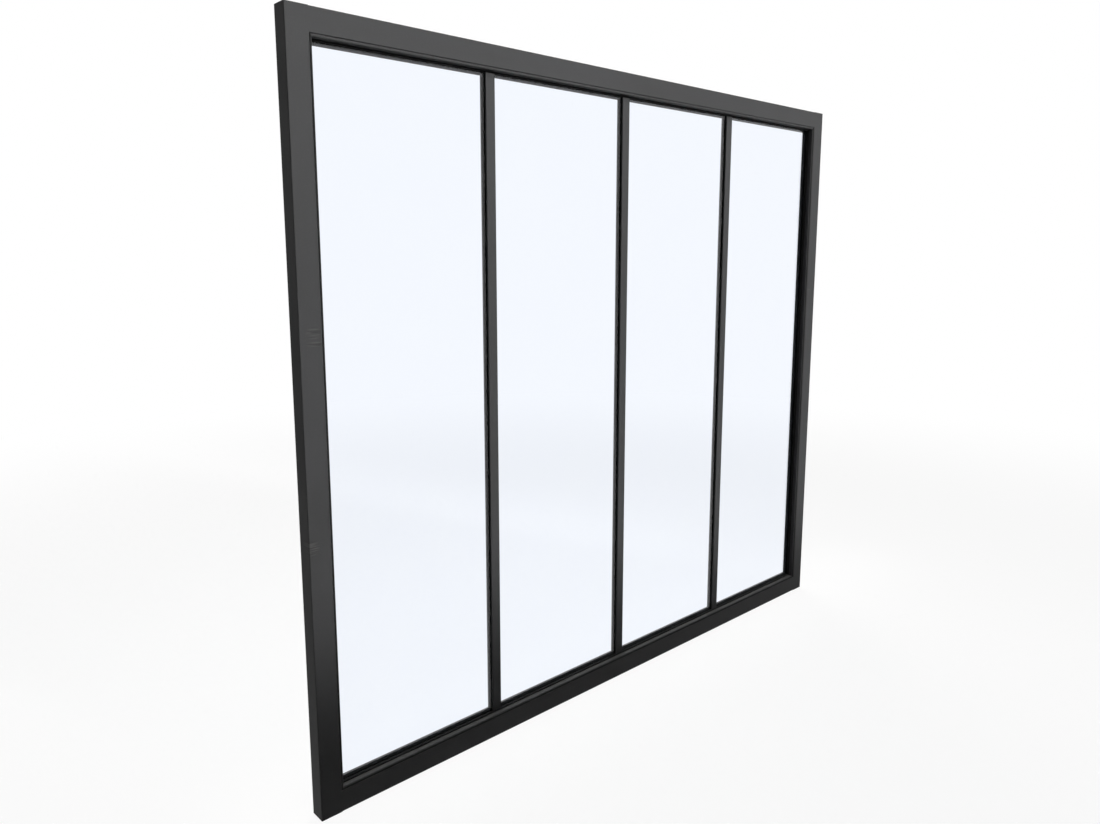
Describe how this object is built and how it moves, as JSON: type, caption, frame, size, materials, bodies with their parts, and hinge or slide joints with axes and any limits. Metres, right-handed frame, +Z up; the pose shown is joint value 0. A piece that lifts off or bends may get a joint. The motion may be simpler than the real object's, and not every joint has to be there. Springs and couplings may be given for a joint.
{
  "type": "interior window",
  "caption": "Fixed interior window: black aluminium frame with slim vertical mullions and tall clear panes, glazed with clip-in beads from the rear.",
  "frame": {"origin": "middle of the underside of the bottom rail, at half the depth of the frame", "axes": "+X to the right seen from the front, +Y from the front face towards the rear, +Z up"},
  "size_m": [1.23, 0.026, 1.08],
  "materials": {
    "powder_coated_aluminium": "satin black powder coat",
    "anodised_aluminium": "black anodised",
    "float_glass": "polished clear",
    "epdm_rubber": "matt black",
    "black_nylon": "matt moulded",
    "setting_block_plastic": "matt moulded"
  },
  "bodies": {
    "root": {"bottom_bead_1": "powder_coated_aluminium", "bottom_bead_2": "powder_coated_aluminium", "bottom_bead_3": "powder_coated_aluminium", "bottom_bead_4": "powder_coated_aluminium", "bottom_front_gasket": "epdm_rubber", "bottom_rail": "powder_coated_aluminium", "glass_pane_1": "float_glass", "glass_pane_2": "float_glass", "glass_pane_3": "float_glass", "glass_pane_4": "float_glass", "left_bead": "powder_coated_aluminium", "left_bottom_plug": "black_nylon", "left_front_gasket": "epdm_rubber", "left_stile": "powder_coated_aluminium", "left_top_plug": "black_nylon", "mullion_1": "powder_coated_aluminium", "mullion_1_cap": "anodised_aluminium", "mullion_1_gaskets": "epdm_rubber", "mullion_2": "powder_coated_aluminium", "mullion_2_cap": "anodised_aluminium", "mullion_2_gaskets": "epdm_rubber", "mullion_3": "powder_coated_aluminium", "mullion_3_cap": "anodised_aluminium", "mullion_3_gaskets": "epdm_rubber", "rear_gasket_1": "epdm_rubber", "rear_gasket_2": "epdm_rubber", "rear_gasket_3": "epdm_rubber", "rear_gasket_4": "epdm_rubber", "right_bead": "powder_coated_aluminium", "right_bottom_plug": "black_nylon", "right_front_gasket": "epdm_rubber", "right_stile": "powder_coated_aluminium", "right_top_plug": "black_nylon", "setting_blocks": "setting_block_plastic", "top_bead_1": "powder_coated_aluminium", "top_bead_2": "powder_coated_aluminium", "top_bead_3": "powder_coated_aluminium", "top_bead_4": "powder_coated_aluminium", "top_front_gasket": "epdm_rubber", "top_rail": "powder_coated_aluminium"}
  },
  "joints": []
}
